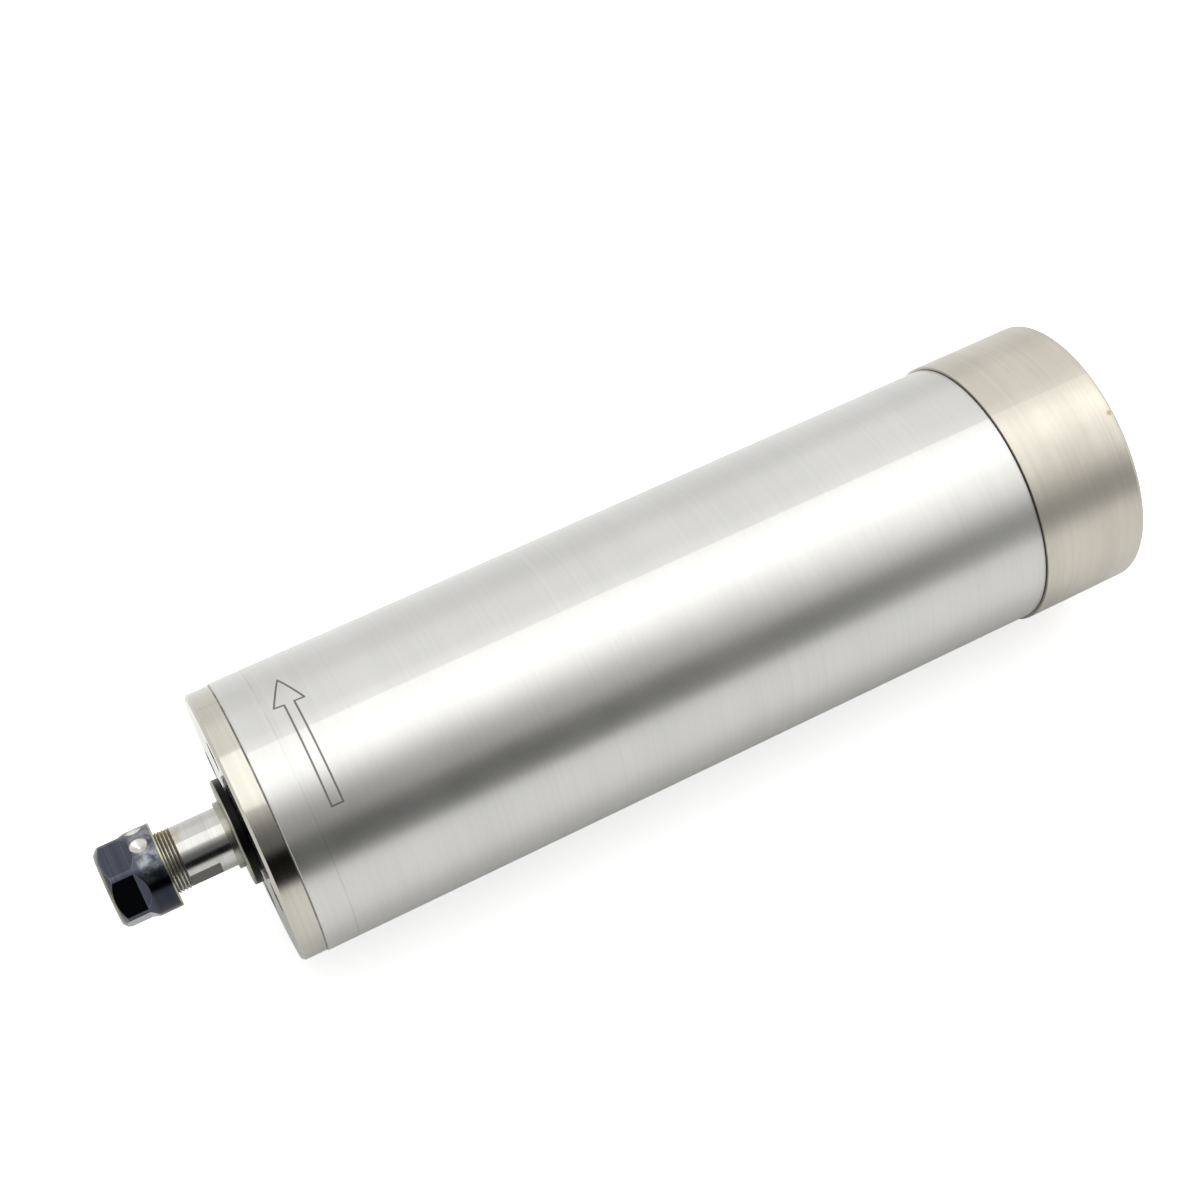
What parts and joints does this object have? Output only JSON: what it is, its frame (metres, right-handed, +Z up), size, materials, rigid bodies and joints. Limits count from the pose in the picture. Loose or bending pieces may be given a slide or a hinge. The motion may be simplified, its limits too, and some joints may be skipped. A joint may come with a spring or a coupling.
{
  "type": "motor spindle",
  "caption": "Round water-cooled motor spindle: a plain clampable barrel, a nose with a hexagonal nut and spring collet for small cutters, and a rear cap with power socket and water stubs.",
  "frame": {"origin": "on the spindle axis at the front end of the clamped barrel, where the front cover meets it", "axes": "+X along the spindle axis towards the rear cap, so the nose points to -X; +Z up with the axis level; the rear fittings are clocked 25 degrees from Z"},
  "size_m": [0.2518, 0.0632, 0.0632],
  "materials": {
    "barrel_steel": "fine turned and brushed, satin",
    "satin_nickel": "nickel plated, satin to bright",
    "ground_steel": "ground",
    "black_oxide": "black oxide, semi-gloss",
    "bearing_steel": "polished",
    "cage_resin": "cloth-filled phenolic resin",
    "housing_steel": "turned",
    "jacket_aluminium": "milled",
    "lamination": "stacked electrical sheet, varnished",
    "enamelled_copper": "enamelled and varnished copper wire",
    "cast_aluminium": "die cast",
    "bare_brass": "turned",
    "nickelled_brass": "nickel plated",
    "seal_rubber": "matt",
    "socket_plastic": "moulded, matt",
    "contact_gold": "gold flashed",
    "lead_silicone": "silicone insulation",
    "copper_tube": "drawn copper",
    "screw_steel": "blackened"
  },
  "bodies": {
    "housing": {"barrel": "barrel_steel", "front_cover": "satin_nickel", "front_cover_screws": "screw_steel", "front_bearing_housing": "housing_steel", "water_jacket": "jacket_aluminium", "housing_seals": "seal_rubber", "stator_core": "lamination", "stator_winding": "enamelled_copper", "rear_bearing_housing": "housing_steel", "rear_cap": "satin_nickel", "rear_cap_screws": "screw_steel", "outer_spacer": "bearing_steel", "preload_spring": "ground_steel", "connector_shell": "nickelled_brass", "connector_nut": "nickelled_brass", "connector_insert": "socket_plastic", "connector_pins": "contact_gold", "inlet_nipple": "nickelled_brass", "inlet_tube": "copper_tube", "outlet_nipple": "nickelled_brass", "outlet_tube": "copper_tube", "phase_leads": "lead_silicone", "earth_lead": "lead_silicone", "front_bearing_a_outer_ring": "bearing_steel", "front_bearing_b_outer_ring": "bearing_steel", "rear_bearing_a_outer_ring": "bearing_steel", "rear_bearing_b_outer_ring": "bearing_steel"},
    "shaft": {"spindle_shaft": "ground_steel", "slinger": "ground_steel", "rotor_core": "lamination", "rotor_cage": "cast_aluminium", "balance_rings": "bare_brass", "lock_nut": "screw_steel", "inner_spacer": "bearing_steel", "front_bearing_a_inner_ring": "bearing_steel", "front_bearing_b_inner_ring": "bearing_steel", "rear_bearing_a_inner_ring": "bearing_steel", "rear_bearing_b_inner_ring": "bearing_steel"},
    "front_ball_set_a": {"front_bearing_a_balls": "bearing_steel", "front_bearing_a_cage": "cage_resin"},
    "front_ball_set_b": {"front_bearing_b_balls": "bearing_steel", "front_bearing_b_cage": "cage_resin"},
    "rear_ball_set_a": {"rear_bearing_a_balls": "bearing_steel", "rear_bearing_a_cage": "cage_resin"},
    "rear_ball_set_b": {"rear_bearing_b_balls": "bearing_steel", "rear_bearing_b_cage": "cage_resin"},
    "collet_body": {"collet": "bearing_steel"},
    "nut_body": {"collet_nut": "black_oxide"}
  },
  "joints": [
    {"name": "shaft_spin", "type": "hinge", "parent": "housing", "child": "shaft", "pos_m": [0, 0, 0], "axis": [-1, 0, 0], "continuous": true},
    {"name": "front_ball_set_a_spin", "type": "hinge", "parent": "housing", "child": "front_ball_set_a", "pos_m": [0, 0, 0], "axis": [-1, 0, 0], "continuous": true},
    {"name": "front_ball_set_b_spin", "type": "hinge", "parent": "housing", "child": "front_ball_set_b", "pos_m": [0, 0, 0], "axis": [-1, 0, 0], "continuous": true},
    {"name": "rear_ball_set_a_spin", "type": "hinge", "parent": "housing", "child": "rear_ball_set_a", "pos_m": [0, 0, 0], "axis": [-1, 0, 0], "continuous": true},
    {"name": "rear_ball_set_b_spin", "type": "hinge", "parent": "housing", "child": "rear_ball_set_b", "pos_m": [0, 0, 0], "axis": [-1, 0, 0], "continuous": true},
    {"name": "collet_slide", "type": "slide", "parent": "shaft", "child": "collet_body", "axis": [-1, 0, 0], "range_m": [0, 0.00751]},
    {"name": "nut_turn", "type": "hinge", "parent": "collet_body", "child": "nut_body", "pos_m": [-0.0293, 0, 0], "axis": [-1, 0, 0], "range_deg": [0, 3600]}
  ],
  "couplings": [
    {"joint": "front_ball_set_a_spin", "follows": "shaft_spin", "ratio": 0.40217},
    {"joint": "front_ball_set_b_spin", "follows": "shaft_spin", "ratio": 0.40217},
    {"joint": "rear_ball_set_a_spin", "follows": "shaft_spin", "ratio": 0.38505},
    {"joint": "rear_ball_set_b_spin", "follows": "shaft_spin", "ratio": 0.38505},
    {"joint": "collet_slide", "follows": "nut_turn", "m_per_rad": 0.00011937}
  ]
}
